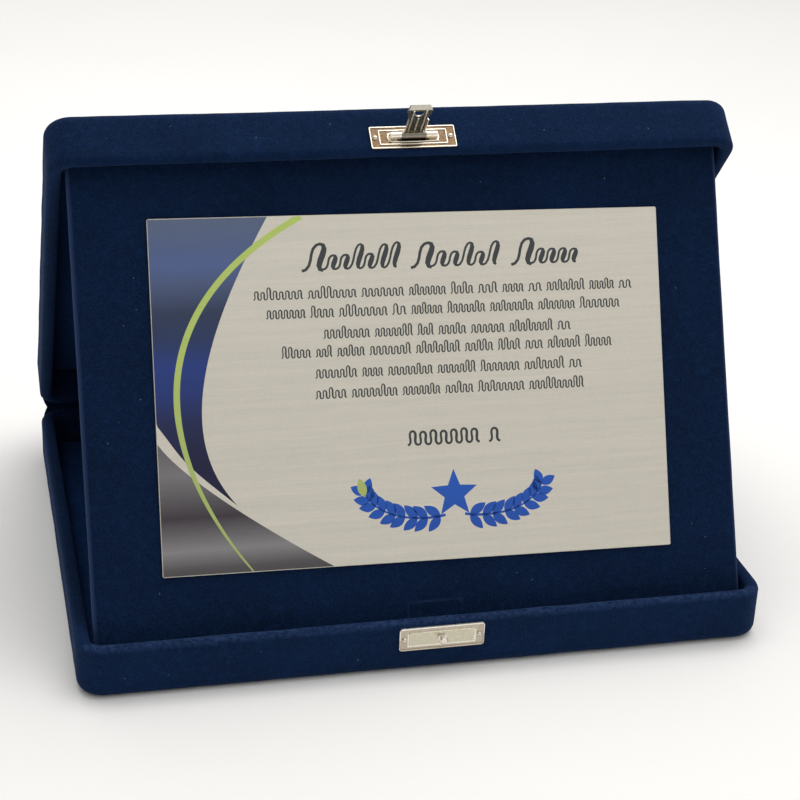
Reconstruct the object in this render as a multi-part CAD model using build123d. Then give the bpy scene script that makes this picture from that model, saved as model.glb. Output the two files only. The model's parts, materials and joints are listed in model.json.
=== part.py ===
"""Velvet-covered wooden presentation case that opens into an easel for a metal award plate.

Two shallow trays, a base and a lid, are hinged along their back edges.  The lid stands half open and a
velvet-wrapped panel with the award plate leans between the front walls of the two trays.

Frame: millimetres, +Z up, the front faces -Y, the origin is the middle of the base's underside.
Every lid piece is drawn with the case closed and then turned open about the hinge axis.
"""

from build123d import *
from math import atan2, cos, degrees, hypot, radians, sin, tan
import os

# ---------------------------------------------------------------- driving dimensions
CASE_WIDTH = 242.0          # outer, left to right
CASE_DEPTH = 187.0          # outer, front to back
HALF_HEIGHT = 19.2          # underside of one tray to its rim
CORNER_RADIUS = 9.0         # of the trays, seen from above
EDGE_RADIUS = 4.0           # along the outer face of each tray
RIM_RADIUS = 2.0            # on both sides of each rim

VELVET = 0.8                # covering cloth with its pile
FOAM = 1.2                  # soft layer under the outer face
BOARD = 3.0                 # hardboard that closes each tray
RAIL = 3.2                  # thickness of the wooden frame
LINING = 0.8                # velvet sheet on each tray's floor

OPEN_ANGLE = 50.3           # lid to base as the case stands on display
FULL_OPEN_ANGLE = 179.8     # lid lying back on the table
PLAY = 0.3                  # room round the panel's edges

PLATE_WIDTH = 180.0
PLATE_HEIGHT = 120.0
PLATE_THICKNESS = 0.6
PLATE_CORNER = 0.6
PLATE_SKEW = -0.8           # degrees out of square, as glued on by hand
TAPE = 0.4                  # double-sided tape under the plate
TAPE_WIDTH = 12.0

PANEL_WIDTH = 229.4
PANEL_BOARD = 3.0
PANEL_EDGE_RADIUS = 1.5     # of the wrapped edges
TURN_IN = 16.0              # width of the cloth turned onto the panel's back
BACKING = 0.5               # card that hides the turned-in cloth's middle

FITTING_X = 2.3             # both clasp halves sit a little right of the middle
FITTING_WIDTH = 30.0
FITTING_HEIGHT = 8.7
FITTING_SHEET = 0.5
CATCH_FROM_RIM = 6.0        # middle of the lower half to the base's rim
CLASP_FROM_RIM = 5.3        # middle of the upper half to the lid's rim
CATCH_CORNER = 1.0
CLASP_CORNER = 0.6
BEAD = 0.35                 # height of the pressed ridges
BEAD_WIDTH = 0.5
CATCH_FIELD = (23.4, 5.4)   # raised field of the lower half
CLASP_FIELD = (24.0, 6.0)   # ridges of the upper half: a rectangle, and a slot round the knuckles
CLASP_SLOT = (18.4, 4.2)
CLASP_KNUCKLE = 1.1         # radius
CLASP_KNUCKLE_END = 8.2     # outer end of each knuckle to the clasp's middle

NAIL_X = 13.2               # nails to the middle of a clasp half
NAIL_SHANK = 0.45
NAIL_HEAD = 0.95
NAIL_DEPTH = 3.6            # into a wall
HINGE_NAIL_HEAD = 0.7       # low enough for two heads to pass between folded leaves
HINGE_NAIL_X = 6.4          # nails to the middle of a leaf, and to the hinge axis
HINGE_NAIL_Z = 5.6

BARREL_RADIUS = 1.35        # rolled end of the hasp
BARREL_LENGTH = 8.4
CLASP_PIN_RADIUS = 0.5
HASP_SHEET = 0.6
HASP_SHOULDER = 9.4         # barrel axis to where it widens, where it is widest, where it bends and its tip
HASP_HEAD = 11.0
HASP_BEND = 13.6
HASP_REACH = 15.0
HASP_LIP = 0.9              # how far the tip bends out
HASP_HALF_WIDTH = 3.2
HASP_HEAD_HALF_WIDTH = 4.2
HASP_HOLE_RADIUS = 1.6
HASP_RIB = 0.5              # width and height
HASP_RIB_X = 2.2
HASP_WING = (7.0, 1.4)      # length and height of the side edges, turned in
HASP_WING_TILT = 24
HASP_ANGLE = 90.0           # how far the hasp is swung up from its closed place
STUD_NECK = 1.0
STUD_HEAD = 1.4
STUD_FOOT = 1.5
STUD_HEIGHT = 3.7           # above the velvet

HINGE_X = 76.0              # middle of each hinge to the middle of the case
HINGE_WIDTH = 20.0
HINGE_SHEET = 0.6
HINGE_BARREL = 1.4          # outer radius, so it lies against the back
HINGE_PIN = 0.6
HINGE_LEAF = 9.4            # hinge axis to the leaf's far edge
KNUCKLES = 5
KNUCKLE_GAP = 0.1
RUNNING_GAP = 0.04          # radial clearance of a pin in what turns on it

# ---------------------------------------------------------------- worked out from them
WALL = 2 * VELVET + RAIL
CORE_FLOOR = VELVET + FOAM + BOARD
FLOOR = CORE_FLOOR + LINING
INNER_CORNER = CORNER_RADIUS - WALL
FRONT = -CASE_DEPTH / 2
BACK = CASE_DEPTH / 2
HINGE_AXIS = (0, BACK + HINGE_BARREL, HALF_HEIGHT)

PANEL_THICKNESS = VELVET + PANEL_BOARD + VELVET
LEAN = 90 - OPEN_ANGLE / 2  # panel to the table
LEAN_COS, LEAN_SIN = cos(radians(LEAN)), sin(radians(LEAN))
# front lower edge of the leaning panel: it touches the front wall, its back edge touches the floor
PANEL_FOOT_Y = FRONT + WALL + PLAY
PANEL_FOOT_Z = FLOOR + PLAY + PANEL_THICKNESS * LEAN_COS
# the panel is cut in half by the plane midway between the trays, which runs through the hinge axis
PANEL_HEIGHT = 2 * (
    (HINGE_AXIS[1] - PANEL_FOOT_Y) * sin(radians(OPEN_ANGLE / 2))
    + (HALF_HEIGHT - PANEL_FOOT_Z) * cos(radians(OPEN_ANGLE / 2))
)
# the same edge once the panel lies flat in the base
FLAT_FOOT_Y = PANEL_FOOT_Y + PLAY
FLAT_FOOT_Z = FLOOR + PLAY + PANEL_THICKNESS


def panel_pivot():
    """The fixed axis, as (y, z), that turns the leaning panel flat: it lies inside the panel's foot."""
    step_y, step_z = FLAT_FOOT_Y - PANEL_FOOT_Y, FLAT_FOOT_Z - PANEL_FOOT_Z
    offset = hypot(step_y, step_z) / 2 / tan(radians(LEAN / 2))
    heading = atan2(step_z, step_y)
    return (
        (PANEL_FOOT_Y + FLAT_FOOT_Y) / 2 + offset * sin(heading),
        (PANEL_FOOT_Z + FLAT_FOOT_Z) / 2 - offset * cos(heading),
    )


# ---------------------------------------------------------------- helpers
def upright(width, depth, low, high, radius):
    """A block with rounded corners, from one height to another."""
    outline = RectangleRounded(width, depth, radius) if radius else Rectangle(width, depth)
    return Pos(0, 0, low) * extrude(outline, high - low)


def rim_edges(shape, height, width):
    """The edges at a height that stay within a width, for rounding a rim."""
    level = shape.edges().filter_by(
        lambda e: abs(e.center().Z - height) < 1e-4 and e.bounding_box().size.Z < 1e-4
    )
    return level.filter_by(lambda e: abs(e.center().X) < width / 2 + 1e-3)


def opened(shape):
    """Turns a piece drawn with the case closed to where the half-open lid holds it."""
    return shape.rotate(Axis(HINGE_AXIS, (1, 0, 0)), -OPEN_ANGLE)


def as_lid(shape):
    """A base piece turned over onto the base, as the lid's piece of the closed case."""
    return shape.mirror(Plane.XY.offset(HALF_HEIGHT))


def rod(radius, length, centre):
    """A round rod along X."""
    return Pos(*centre) * Rot(0, 90, 0) * Cylinder(radius, length)


def solids_of(shape):
    """One compound of a shape's separate solids."""
    return Compound(children=list(shape.solids()))


# ---------------------------------------------------------------- trays
def tray_block(inset, corner, edge, rim, floor):
    """A tray, inset all round from the outer one: rounded corners, outer edge and rim, open on top."""
    width, depth = CASE_WIDTH - 2 * inset, CASE_DEPTH - 2 * inset
    wall = WALL - 2 * inset
    low, high = inset, HALF_HEIGHT - inset
    block = upright(width, depth, low, high, corner)
    block = fillet(rim_edges(block, low, width), edge)
    block = fillet(rim_edges(block, high, width), rim)
    hollow = upright(width - 2 * wall, depth - 2 * wall, floor, high, corner - wall)
    block -= hollow
    return fillet(rim_edges(block, high, width - 2 * wall), rim)


def corner_cuts(low, high):
    """Four wedges, front, back, left and right, that share the corners' mitre planes."""
    reach = CASE_DEPTH / 2 + 1
    side = CASE_WIDTH / 2 + 1
    inner = side - reach
    front = Polygon((-side, -reach), (side, -reach), (inner, 0), (-inner, 0), align=None)
    right = Polygon((side, -reach), (side, reach), (inner, 0), align=None)
    front = Pos(0, 0, low) * extrude(front, high - low)
    right = Pos(0, 0, low) * extrude(right, high - low)
    return {
        "front": front,
        "back": front.mirror(Plane.XZ),
        "left": right.mirror(Plane.YZ),
        "right": right,
    }


def tray_core():
    """The wooden and foam pieces of one tray by name, as the base holds them."""
    core = tray_block(VELVET, CORNER_RADIUS - VELVET, EDGE_RADIUS - VELVET, RIM_RADIUS - VELVET, CORE_FLOOR)
    slab = Box(CASE_WIDTH, CASE_DEPTH, FOAM, align=(Align.CENTER, Align.CENTER, Align.MIN))
    pieces = {"foam": core & Pos(0, 0, VELVET) * slab}
    slab = Box(CASE_WIDTH, CASE_DEPTH, BOARD, align=(Align.CENTER, Align.CENTER, Align.MIN))
    pieces["board"] = core & Pos(0, 0, VELVET + FOAM) * slab
    for side, wedge in corner_cuts(CORE_FLOOR, HALF_HEIGHT).items():
        pieces[f"{side}_rail"] = core & wedge
    return pieces


def tray_cover():
    """The velvet over the outside and the rim: a pan below and four strips wrapped over the walls."""
    outer = tray_block(0, CORNER_RADIUS, EDGE_RADIUS, RIM_RADIUS, CORE_FLOOR)
    core = tray_block(VELVET, CORNER_RADIUS - VELVET, EDGE_RADIUS - VELVET, RIM_RADIUS - VELVET, CORE_FLOOR)
    skin = outer - core
    pan = Box(CASE_WIDTH, CASE_DEPTH, CORE_FLOOR, align=(Align.CENTER, Align.CENTER, Align.MIN))
    cuts = [pan, *corner_cuts(CORE_FLOOR, HALF_HEIGHT).values()]
    return [skin & cut for cut in cuts]


def tray_lining():
    """The velvet sheet on the floor, inside the wrapped walls."""
    width, depth = CASE_WIDTH - 2 * WALL, CASE_DEPTH - 2 * WALL
    return upright(width, depth, CORE_FLOOR, FLOOR, INNER_CORNER)


# ---------------------------------------------------------------- panel and plate
def panel_place():
    """Where the panel leans: X across it, Y up along its front face, Z out of that face."""
    origin = (0, PANEL_FOOT_Y, PANEL_FOOT_Z)
    return Location(Plane(origin=origin, x_dir=(1, 0, 0), z_dir=(0, -LEAN_SIN, LEAN_COS)))


def panel_sheet(width, height, low, high, edge_radius=0.0):
    """A flat layer of the panel, from one depth to another below its front face at 0."""
    sheet = Pos(0, PANEL_HEIGHT / 2, low) * extrude(Rectangle(width, height), high - low)
    if edge_radius:
        sheet = fillet(sheet.edges().filter_by(Axis.X), edge_radius)
        sheet = fillet(sheet.edges().filter_by(Axis.Y), edge_radius * 0.9)
    return sheet


def panel_pieces():
    """The leaning panel: board, wrapped velvet, backing card, tape and award plate."""
    back = -PANEL_THICKNESS
    wrapped = panel_sheet(PANEL_WIDTH, PANEL_HEIGHT, back, 0, PANEL_EDGE_RADIUS)
    board = panel_sheet(
        PANEL_WIDTH - 2 * VELVET, PANEL_HEIGHT - 2 * VELVET, back + VELVET, -VELVET, PANEL_EDGE_RADIUS - VELVET
    )
    window = (PANEL_WIDTH - 2 * TURN_IN, PANEL_HEIGHT - 2 * TURN_IN)
    velvet = wrapped - board - panel_sheet(*window, back, back + VELVET)
    backing = panel_sheet(*window, back + VELVET - BACKING, back + VELVET)

    tape = [
        Pos(x, 0, TAPE / 2) * Box(TAPE_WIDTH, PLATE_HEIGHT * 0.86, TAPE)
        for x in (-PLATE_WIDTH * 0.4, 0, PLATE_WIDTH * 0.4)
    ]
    outline = RectangleRounded(PLATE_WIDTH, PLATE_HEIGHT, PLATE_CORNER)
    plate = Pos(0, 0, TAPE) * extrude(outline, PLATE_THICKNESS)
    plate = chamfer(plate.faces().sort_by(Axis.Z)[-1].edges(), 0.12)
    stuck = Pos(0, PANEL_HEIGHT / 2, 0) * Rot(0, 0, PLATE_SKEW)

    place = panel_place()
    pieces = {
        "panel_board": board,
        "panel_velvet": velvet,
        "panel_backing": backing,
        "plate_tape": Compound(children=[stuck * strip for strip in tape]),
        "award_plate": stuck * plate,
    }
    return {name: place * piece for name, piece in pieces.items()}


# ---------------------------------------------------------------- clasp
def ridge(outline):
    """A pressed ridge that follows a rounded outline, standing on a clasp half's face."""
    band = Pos(0, 0, FITTING_SHEET) * extrude(outline - offset(outline, -BEAD_WIDTH), BEAD)
    return chamfer(band.faces().sort_by(Axis.Z)[-1].edges(), BEAD * 0.4)


def fitting_place(height):
    """The clasp halves' own frame on the front walls: X across, Y up, Z forward from the velvet."""
    return Location(Plane(origin=(FITTING_X, FRONT, height), x_dir=(1, 0, 0), z_dir=(0, -1, 0)))


def domed_nail(head, sheet):
    """A nail along Z that holds a sheet standing on the plane at 0, with half a ball for a head."""
    shank = Cylinder(NAIL_SHANK, NAIL_DEPTH + sheet, align=(Align.CENTER, Align.CENTER, Align.MIN))
    dome = Sphere(head) & Pos(0, 0, head / 2) * Box(2 * head, 2 * head, head)
    return Pos(0, 0, -NAIL_DEPTH) * shank + Pos(0, 0, sheet) * dome


def nail_holes():
    """The round holes through a clasp half's sheet for its two nails."""
    hole = Cylinder(NAIL_SHANK, FITTING_SHEET, align=(Align.CENTER, Align.CENTER, Align.MIN))
    return [Pos(x, 0, 0) * hole for x in (-NAIL_X, NAIL_X)]


def fitting_nails():
    """The two nails that hold a clasp half, drawn in the clasp's own frame."""
    return [Pos(x, 0, 0) * domed_nail(NAIL_HEAD, FITTING_SHEET) for x in (-NAIL_X, NAIL_X)]


def catch_pieces():
    """The lower clasp half: a pressed plate, its stud and two nails."""
    outline = RectangleRounded(FITTING_WIDTH, FITTING_HEIGHT, CATCH_CORNER)
    field = extrude(RectangleRounded(*CATCH_FIELD, CATCH_CORNER / 2), BEAD, taper=35)
    sheet = extrude(outline, FITTING_SHEET) + Pos(0, 0, FITTING_SHEET) * field + ridge(outline)
    sheet -= nail_holes()

    seat, top = FITTING_SHEET + BEAD, STUD_HEIGHT
    turned = Polyline(
        (0, seat), (STUD_FOOT, seat), (STUD_FOOT, seat + 0.4),
        (STUD_NECK, seat + 0.6), (STUD_NECK, top - 1.4),
        (STUD_HEAD, top - 0.8), (STUD_HEAD, top - 0.6), (STUD_HEAD * 0.75, top - 0.2), (0, top), (0, seat),
    )
    stud = revolve(Plane.XZ * make_face(turned), Axis.Z)
    return {"catch_plate": sheet, "catch_stud": stud, "catch_nails": fitting_nails()}


def barrel_height():
    """The hasp barrel's axis above the velvet."""
    return FITTING_SHEET + BARREL_RADIUS + 0.15


def clasp_pieces():
    """The upper clasp half: a pressed plate with two knuckles, its hinge pin and two nails."""
    outline = RectangleRounded(FITTING_WIDTH, FITTING_HEIGHT, CLASP_CORNER)
    sheet = extrude(outline, FITTING_SHEET) + ridge(outline)
    sheet += ridge(RectangleRounded(*CLASP_FIELD, CLASP_CORNER)) + ridge(SlotOverall(*CLASP_SLOT))
    height = barrel_height()
    inner, outer = BARREL_LENGTH / 2 + KNUCKLE_GAP, CLASP_KNUCKLE_END
    for x in (-(inner + outer) / 2, (inner + outer) / 2):
        sheet += rod(CLASP_KNUCKLE, outer - inner, (x, 0, height))
        sheet += Pos(x, 0, height / 2) * Box(outer - inner, 2 * CLASP_KNUCKLE, height)
    pin = rod(CLASP_PIN_RADIUS, 2 * outer - 0.6, (0, 0, height))
    sheet -= [pin, *nail_holes()]
    return {"clasp_plate": sheet, "clasp_pin": pin, "clasp_nails": fitting_nails()}


def hasp():
    """The swinging hasp in its closed place: it hangs down from the barrel, in the clasp's own frame."""
    inside, outside = BARREL_RADIUS - HASP_SHEET, BARREL_RADIUS   # faces of its sheet, out from the axis
    side_view = Polygon(
        (0, inside), (0, outside), (-HASP_BEND, outside), (-HASP_REACH + 0.4, outside + HASP_LIP),
        (-HASP_REACH, outside + HASP_LIP / 2), (-HASP_BEND - 0.25, inside), align=None,
    )
    sheet = Plane.YZ * extrude(side_view, HASP_HEAD_HALF_WIDTH, both=True)
    half = [
        (HASP_HALF_WIDTH, 0.0), (HASP_HALF_WIDTH, -HASP_SHOULDER), (HASP_HEAD_HALF_WIDTH, -HASP_HEAD),
        (HASP_HEAD_HALF_WIDTH, -HASP_BEND), (HASP_HALF_WIDTH, -HASP_REACH),
    ]
    outline = Polygon(*[(-x, y) for x, y in half], *reversed(half), align=None)
    arm = sheet & extrude(outline, 2 * BARREL_RADIUS)
    hole_at = CATCH_FROM_RIM + CLASP_FROM_RIM
    arm -= Pos(0, -hole_at, 0) * Cylinder(HASP_HOLE_RADIUS, 4 * BARREL_RADIUS)
    above_hole = hole_at - HASP_HOLE_RADIUS - HASP_RIB
    for x, end in ((-HASP_RIB_X, HASP_BEND), (0, above_hole), (HASP_RIB_X, HASP_BEND)):
        rib = Box(HASP_RIB, end - 1, HASP_RIB, align=(Align.CENTER, Align.MIN, Align.MAX))
        arm += Pos(x, -end, inside + 0.1) * rib
    length, height = HASP_WING
    for side in (-1, 1):
        wing = Box(HASP_RIB, length, height, align=(Align.CENTER, Align.CENTER, Align.MAX))
        place = Pos(side * (HASP_HALF_WIDTH - HASP_RIB / 2), -1.9 - length / 2, outside - 0.15)
        arm += place * Rot(0, -side * HASP_WING_TILT, 0) * wing
    barrel = rod(BARREL_RADIUS, BARREL_LENGTH, (0, 0, 0))
    whole = arm + barrel - rod(CLASP_PIN_RADIUS + RUNNING_GAP, BARREL_LENGTH + 1, (0, 0, 0))
    return Pos(0, 0, barrel_height()) * whole


# ---------------------------------------------------------------- hinges
def hinge_leaf(lower):
    """A leaf with its knuckles, round an axis at the origin: the lower one hangs down, the upper stands."""
    pitch = HINGE_WIDTH / KNUCKLES
    own = range(0, KNUCKLES, 2) if lower else range(1, KNUCKLES, 2)
    flat = Pos(0, -HINGE_BARREL, 0) * Box(
        HINGE_WIDTH, HINGE_SHEET, HINGE_LEAF, align=(Align.CENTER, Align.MIN, Align.MAX)
    )
    flat -= Box(HINGE_WIDTH, 2 * HINGE_BARREL + 0.3, 2 * HINGE_BARREL + 0.3)
    flat = fillet(flat.edges().filter_by(Axis.Y).group_by(Axis.Z)[0], 1.5)
    if not lower:
        flat = flat.mirror(Plane.XY)
    for index in own:
        x = (index - (KNUCKLES - 1) / 2) * pitch
        length = pitch - KNUCKLE_GAP
        knuckle = rod(HINGE_BARREL, length, (x, 0, 0))
        strap = Pos(x, -HINGE_BARREL, 0) * Box(
            length, HINGE_SHEET, HINGE_BARREL + 0.5, align=(Align.CENTER, Align.MIN, Align.MAX)
        )
        flat += knuckle + (strap if lower else strap.mirror(Plane.XY))
    bore = HINGE_PIN if lower else HINGE_PIN + RUNNING_GAP
    return flat - rod(bore, HINGE_WIDTH + 1, (0, 0, 0))


def hinge_nails(lower):
    """The two nails of a leaf, with their heads outside."""
    height = -HINGE_NAIL_Z if lower else HINGE_NAIL_Z
    nail = Rot(-90, 0, 0) * domed_nail(HINGE_NAIL_HEAD, HINGE_SHEET)
    return [Pos(x, -HINGE_BARREL, height) * nail for x in (-HINGE_NAIL_X, HINGE_NAIL_X)]


# ---------------------------------------------------------------- assembly
def drill(pieces, names, cutters):
    """Takes nails out of the pieces that they are driven into."""
    for name in names:
        for cutter in cutters:
            pieces[name] -= cutter


def base_pieces():
    pieces = {f"base_{name}": piece for name, piece in tray_core().items()}
    cover = tray_cover()
    pieces["base_lining"] = tray_lining()

    place = fitting_place(HALF_HEIGHT - CATCH_FROM_RIM)
    catch = catch_pieces()
    nails = [place * nail for nail in catch["catch_nails"]]
    pieces["catch_plate"] = place * catch["catch_plate"]
    pieces["catch_stud"] = place * catch["catch_stud"]

    hinge = Pos(*HINGE_AXIS)
    hinge_fixings = []
    for side, x in (("left", -HINGE_X), ("right", HINGE_X)):
        fixings = [hinge * Pos(x, 0, 0) * nail for nail in hinge_nails(True)]
        leaf = hinge * Pos(x, 0, 0) * hinge_leaf(True)
        for nail in fixings:
            leaf -= nail
        pieces[f"{side}_hinge_base_leaf"] = leaf
        pieces[f"{side}_hinge_pin"] = hinge * rod(HINGE_PIN, HINGE_WIDTH + 0.6, (x, 0, 0))
        hinge_fixings += fixings

    drill(pieces, ["base_front_rail"], nails)
    drill(pieces, ["base_back_rail"], hinge_fixings)
    for nail in nails + hinge_fixings:
        cover = [strip - nail for strip in cover]
    pieces["base_velvet_cover"] = Compound(children=[s for strip in cover for s in strip.solids()])
    pieces["catch_nails"] = Compound(children=nails)
    pieces["hinge_base_nails"] = Compound(children=hinge_fixings)
    return pieces


def lid_pieces():
    """The lid's pieces, drawn on top of the base."""
    pieces = {f"lid_{name}": as_lid(piece) for name, piece in tray_core().items()}
    cover = [as_lid(strip) for strip in tray_cover()]
    pieces["lid_lining"] = as_lid(tray_lining())

    place = fitting_place(HALF_HEIGHT + CLASP_FROM_RIM)
    clasp = clasp_pieces()
    nails = [place * nail for nail in clasp["clasp_nails"]]
    pieces["clasp_plate"] = place * clasp["clasp_plate"]
    pieces["clasp_pin"] = place * clasp["clasp_pin"]

    hinge = Pos(*HINGE_AXIS)
    hinge_fixings = []
    for side, x in (("left", -HINGE_X), ("right", HINGE_X)):
        fixings = [hinge * Pos(x, 0, 0) * nail for nail in hinge_nails(False)]
        leaf = hinge * Pos(x, 0, 0) * hinge_leaf(False)
        for nail in fixings:
            leaf -= nail
        pieces[f"{side}_hinge_lid_leaf"] = leaf
        hinge_fixings += fixings

    drill(pieces, ["lid_front_rail"], nails)
    drill(pieces, ["lid_back_rail"], hinge_fixings)
    for nail in nails + hinge_fixings:
        cover = [strip - nail for strip in cover]
    pieces["lid_velvet_cover"] = Compound(children=[s for strip in cover for s in strip.solids()])
    pieces["clasp_nails"] = Compound(children=nails)
    pieces["hinge_lid_nails"] = Compound(children=hinge_fixings)

    axis = Axis((0, 0, barrel_height()), (1, 0, 0))
    pieces["clasp_hasp"] = place * hasp().rotate(axis, -HASP_ANGLE)
    return pieces


def main():
    os.makedirs("parts", exist_ok=True)
    pieces = base_pieces()
    pieces.update({name: opened(piece) for name, piece in lid_pieces().items()})
    pieces.update(panel_pieces())
    for name, piece in pieces.items():
        export_step(solids_of(piece), f"parts/{name}.step")

    pivot_y, pivot_z = panel_pivot()
    clasp_y = FRONT - barrel_height() - HINGE_AXIS[1]
    turn = radians(-OPEN_ANGLE)
    hasp_y = HINGE_AXIS[1] + clasp_y * cos(turn) - CLASP_FROM_RIM * sin(turn)
    hasp_z = HALF_HEIGHT + clasp_y * sin(turn) + CLASP_FROM_RIM * cos(turn)
    print(f"panel {PANEL_WIDTH} x {PANEL_HEIGHT:.3f} x {PANEL_THICKNESS:.2f}, leaning {LEAN:.3f} degrees")
    print(f"room for it in a tray {CASE_DEPTH - 2 * WALL:.2f}")
    print(f"lid hinge axis y {HINGE_AXIS[1]:.4f} z {HALF_HEIGHT:.4f}, opens {FULL_OPEN_ANGLE - OPEN_ANGLE:.2f} more")
    print(f"panel pivot y {pivot_y:.4f} z {pivot_z:.4f}, folds {LEAN:.3f}")
    print(f"hasp axis y {hasp_y:.4f} z {hasp_z:.4f}")


main()
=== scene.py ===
import json
import math
import random

import bmesh
import bpy
from mathutils import Matrix, Vector, noise


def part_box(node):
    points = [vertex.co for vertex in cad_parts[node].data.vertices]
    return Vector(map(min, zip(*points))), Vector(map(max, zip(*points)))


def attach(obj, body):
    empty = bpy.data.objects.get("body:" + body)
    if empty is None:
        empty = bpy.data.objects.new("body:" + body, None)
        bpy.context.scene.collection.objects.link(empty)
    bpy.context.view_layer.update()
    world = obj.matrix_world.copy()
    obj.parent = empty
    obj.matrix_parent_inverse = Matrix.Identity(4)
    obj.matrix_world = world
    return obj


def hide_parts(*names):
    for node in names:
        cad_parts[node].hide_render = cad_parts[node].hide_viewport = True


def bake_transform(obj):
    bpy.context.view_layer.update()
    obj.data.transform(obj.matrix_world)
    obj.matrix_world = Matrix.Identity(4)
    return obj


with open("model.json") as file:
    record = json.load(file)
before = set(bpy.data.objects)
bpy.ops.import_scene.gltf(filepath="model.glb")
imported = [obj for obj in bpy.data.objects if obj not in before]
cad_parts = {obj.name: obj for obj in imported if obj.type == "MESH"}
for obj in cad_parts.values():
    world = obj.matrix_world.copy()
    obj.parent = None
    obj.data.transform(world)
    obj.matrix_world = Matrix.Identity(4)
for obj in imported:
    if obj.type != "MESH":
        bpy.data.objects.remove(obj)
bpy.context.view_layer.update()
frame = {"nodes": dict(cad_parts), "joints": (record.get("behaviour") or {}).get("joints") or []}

# Looks of a velvet presentation case that stands open as an easel, with a printed metal award plate.
# Lengths are in metres. A tray is drawn as the base holds it, and the lid's is turned over and opened.

MM = 0.001
joints = {joint["name"]: joint for joint in frame["joints"]}

# ---------------------------------------------------------------- sizes, read from the frame
cover_low, cover_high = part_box("base_velvet_cover")
lining_low, lining_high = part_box("base_lining")
CASE_WIDTH, CASE_DEPTH, RIM = cover_high - cover_low
FRONT = cover_low.y
WALL = lining_low.x - cover_low.x
FLOOR_LOW, FLOOR = lining_low.z, lining_high.z
CORNER = 9.0 * MM           # trays' corners, seen from above
EDGE = 4.0 * MM             # along each tray's outer face
RIM_ROUND = 2.0 * MM
CLOTH = 0.8 * MM            # velvet with its pile
HINGE = Vector(joints["lid_hinge"]["pos_m"])


def open_angle():
    """The lid's angle to the base, from how its lining's box grows as the sheet tilts."""
    depth, thick = lining_high.y - lining_low.y, lining_high.z - lining_low.z
    low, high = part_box("lid_lining")
    across, up = high.y - low.y, high.z - low.z
    return math.atan2(depth * up - thick * across, depth * across - thick * up)


OPEN = open_angle()
LEAN = math.pi / 2 - OPEN / 2
PANEL_THICK = 4.6 * MM
PANEL_EDGE = 1.5 * MM
TURN_IN = 16.0 * MM         # cloth turned onto the panel's back
panel_low, panel_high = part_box("panel_velvet")
PANEL_WIDTH = panel_high.x - panel_low.x
rounding = 2 * PANEL_EDGE * (math.sin(LEAN) + math.cos(LEAN) - 1)
PANEL_HEIGHT = (panel_high.z - panel_low.z + rounding - PANEL_THICK * math.cos(LEAN)) / math.sin(LEAN)

PLATE_SKEW = math.radians(-0.8)
plate_low, plate_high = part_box("award_plate")
PLATE_THICK = 0.6 * MM
TAPE = 0.4 * MM             # under the plate
plate_rise = (plate_high.z - plate_low.z - PLATE_THICK * math.cos(LEAN)) / math.sin(LEAN)
plate_span = plate_high.x - plate_low.x
skew_cos, skew_sin = math.cos(PLATE_SKEW), abs(math.sin(PLATE_SKEW))
PLATE_WIDTH = (plate_span * skew_cos - plate_rise * skew_sin) / (skew_cos**2 - skew_sin**2)
PLATE_HEIGHT = (plate_rise * skew_cos - plate_span * skew_sin) / (skew_cos**2 - skew_sin**2)

# ---------------------------------------------------------------- places
def turned_about(point, angle):
    """A turn about the X line through a point."""
    return Matrix.Translation(point) @ Matrix.Rotation(angle, 4, "X") @ Matrix.Translation(-point)


TURN_OVER = turned_about(Vector((0, 0, RIM)), math.pi)
SWING = turned_about(HINGE, -OPEN)
BASE_PLACE = Matrix.Identity(4)
LID_PLACE = SWING @ TURN_OVER


def middle(node):
    low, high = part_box(node)
    return (low + high) / 2


TILT = Matrix.Rotation(LEAN, 4, "X")
PANEL_PLACE = Matrix.Translation(middle("panel_board")) @ TILT      # X across, Y up it, Z out of its front
FITTING_X = 2.3 * MM
CATCH_FROM_RIM, CLASP_FROM_RIM = 6.0 * MM, 5.3 * MM
CATCH_TURN, CLASP_TURN, HASP_TURN = math.pi / 2, math.pi / 2 - OPEN, -OPEN      # about X
CATCH_FIELD = (23.4 * MM, 5.4 * MM)         # the catch plate's raised middle, and inside its outer ridge
CATCH_RIM = (29.2 * MM, 7.9 * MM)
CATCH_HIGHLIGHT = 0.55 * MM                      # the painted highlight's reach to either side of the field's edge
CATCH_LIT = 0.6 * MM                        # and how far below the field's upper edge it ends
SLOT_HALF = (8.9 * MM, 1.7 * MM)            # inside the slot-shaped ridge round the clasp's barrel
SHADE_HALF = (5.6 * MM, 0.75 * MM)          # the painted shadow under the barrel
SHADE_DROP = 0.9 * MM                       # from the barrel's axis
RAISED_FROM = 0.62 * MM                     # height of the clasp's ridges above the velvet
BARREL_END, LIP_START = 1.5 * MM, 13.5 * MM # along the hasp, from its axis
CATCH_FOOT = Vector((FITTING_X, FRONT, RIM - CATCH_FROM_RIM))
CLASP_FOOT = SWING @ Vector((FITTING_X, FRONT, RIM + CLASP_FROM_RIM))
HASP_AXIS = Vector(joints["clasp_hasp"]["pos_m"])
PLATE_DEPTH = PANEL_THICK / 2 + TAPE + PLATE_THICK / 2              # its middle, out from the panel's
PLATE_PLACE = PANEL_PLACE @ Matrix.Translation((0, 0, PLATE_DEPTH)) @ Matrix.Rotation(PLATE_SKEW, 4, "Z")


# ---------------------------------------------------------------- mesh helpers
def new_object(name, mesh, material, smooth=True):
    piece = bpy.data.objects.new(name, mesh)
    bpy.context.scene.collection.objects.link(piece)
    mesh.materials.append(material)
    mesh.polygons.foreach_set("use_smooth", [smooth] * len(mesh.polygons))
    return piece


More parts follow.
